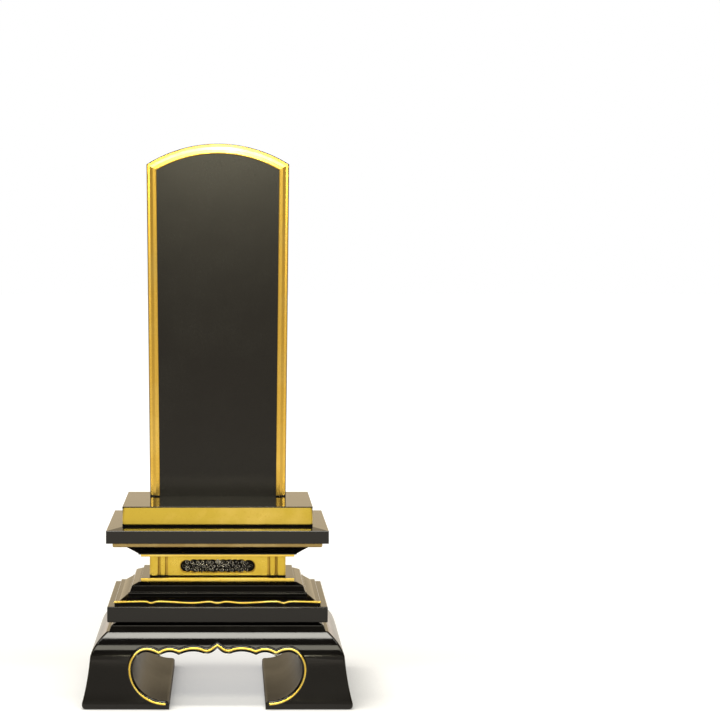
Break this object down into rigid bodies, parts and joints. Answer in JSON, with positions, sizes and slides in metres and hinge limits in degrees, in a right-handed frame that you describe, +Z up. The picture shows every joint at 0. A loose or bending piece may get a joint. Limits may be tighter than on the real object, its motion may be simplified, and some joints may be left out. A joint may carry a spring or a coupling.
{
  "type": "buddhist memorial tablet",
  "caption": "Lacquered memorial tablet: an arched board in a gilt frame that stands by its tenon in a stepped pedestal with gilt mouldings and cat legs.",
  "frame": {"origin": "middle of the pedestal's footprint, on the surface that the feet stand on", "axes": "+Z up through the tablet, +X to the right as seen from the front, the gilt front looks along -Y"},
  "size_m": [0.1, 0.071, 0.2101],
  "materials": {
    "black_lacquer": "gloss black lacquer over wood",
    "tablet_lacquer": "black lacquer over wood, rubbed to a softer gloss",
    "gold_leaf": "gold leaf over lacquered wood, satin",
    "brown_gilt": "worn, brown-toned gilding over lacquered wood",
    "carved_lacquer": "carved wood under dark lacquer, lighter on the raised scrolls"
  },
  "bodies": {
    "pedestal": {"base_block": "black_lacquer", "neck_moulding": "black_lacquer", "lower_slab": "black_lacquer", "skirt_moulding": "black_lacquer", "wave_strip": "gold_leaf", "shoulder_moulding": "black_lacquer", "lower_gilt_board": "gold_leaf", "waist_core": "black_lacquer", "waist_corner_left": "gold_leaf", "waist_corner_right": "gold_leaf", "waist_rib_left": "gold_leaf", "waist_rib_right": "gold_leaf", "waist_panel": "gold_leaf", "waist_carving": "carved_lacquer", "upper_gilt_board": "gold_leaf", "flare_moulding": "black_lacquer", "fillet_board": "brown_gilt", "upper_slab": "black_lacquer", "step_foot": "black_lacquer", "step_block": "black_lacquer", "step_moulding": "gold_leaf", "step_top": "black_lacquer"},
    "tablet": {"tablet_board": "tablet_lacquer", "tablet_face": "tablet_lacquer", "tablet_stile_left": "gold_leaf", "tablet_stile_right": "gold_leaf", "tablet_arch": "gold_leaf"}
  },
  "joints": [
    {"name": "tablet_lift", "type": "slide", "parent": "pedestal", "child": "tablet", "axis": [0, 0, 1], "range_m": [0, 0.02]}
  ]
}
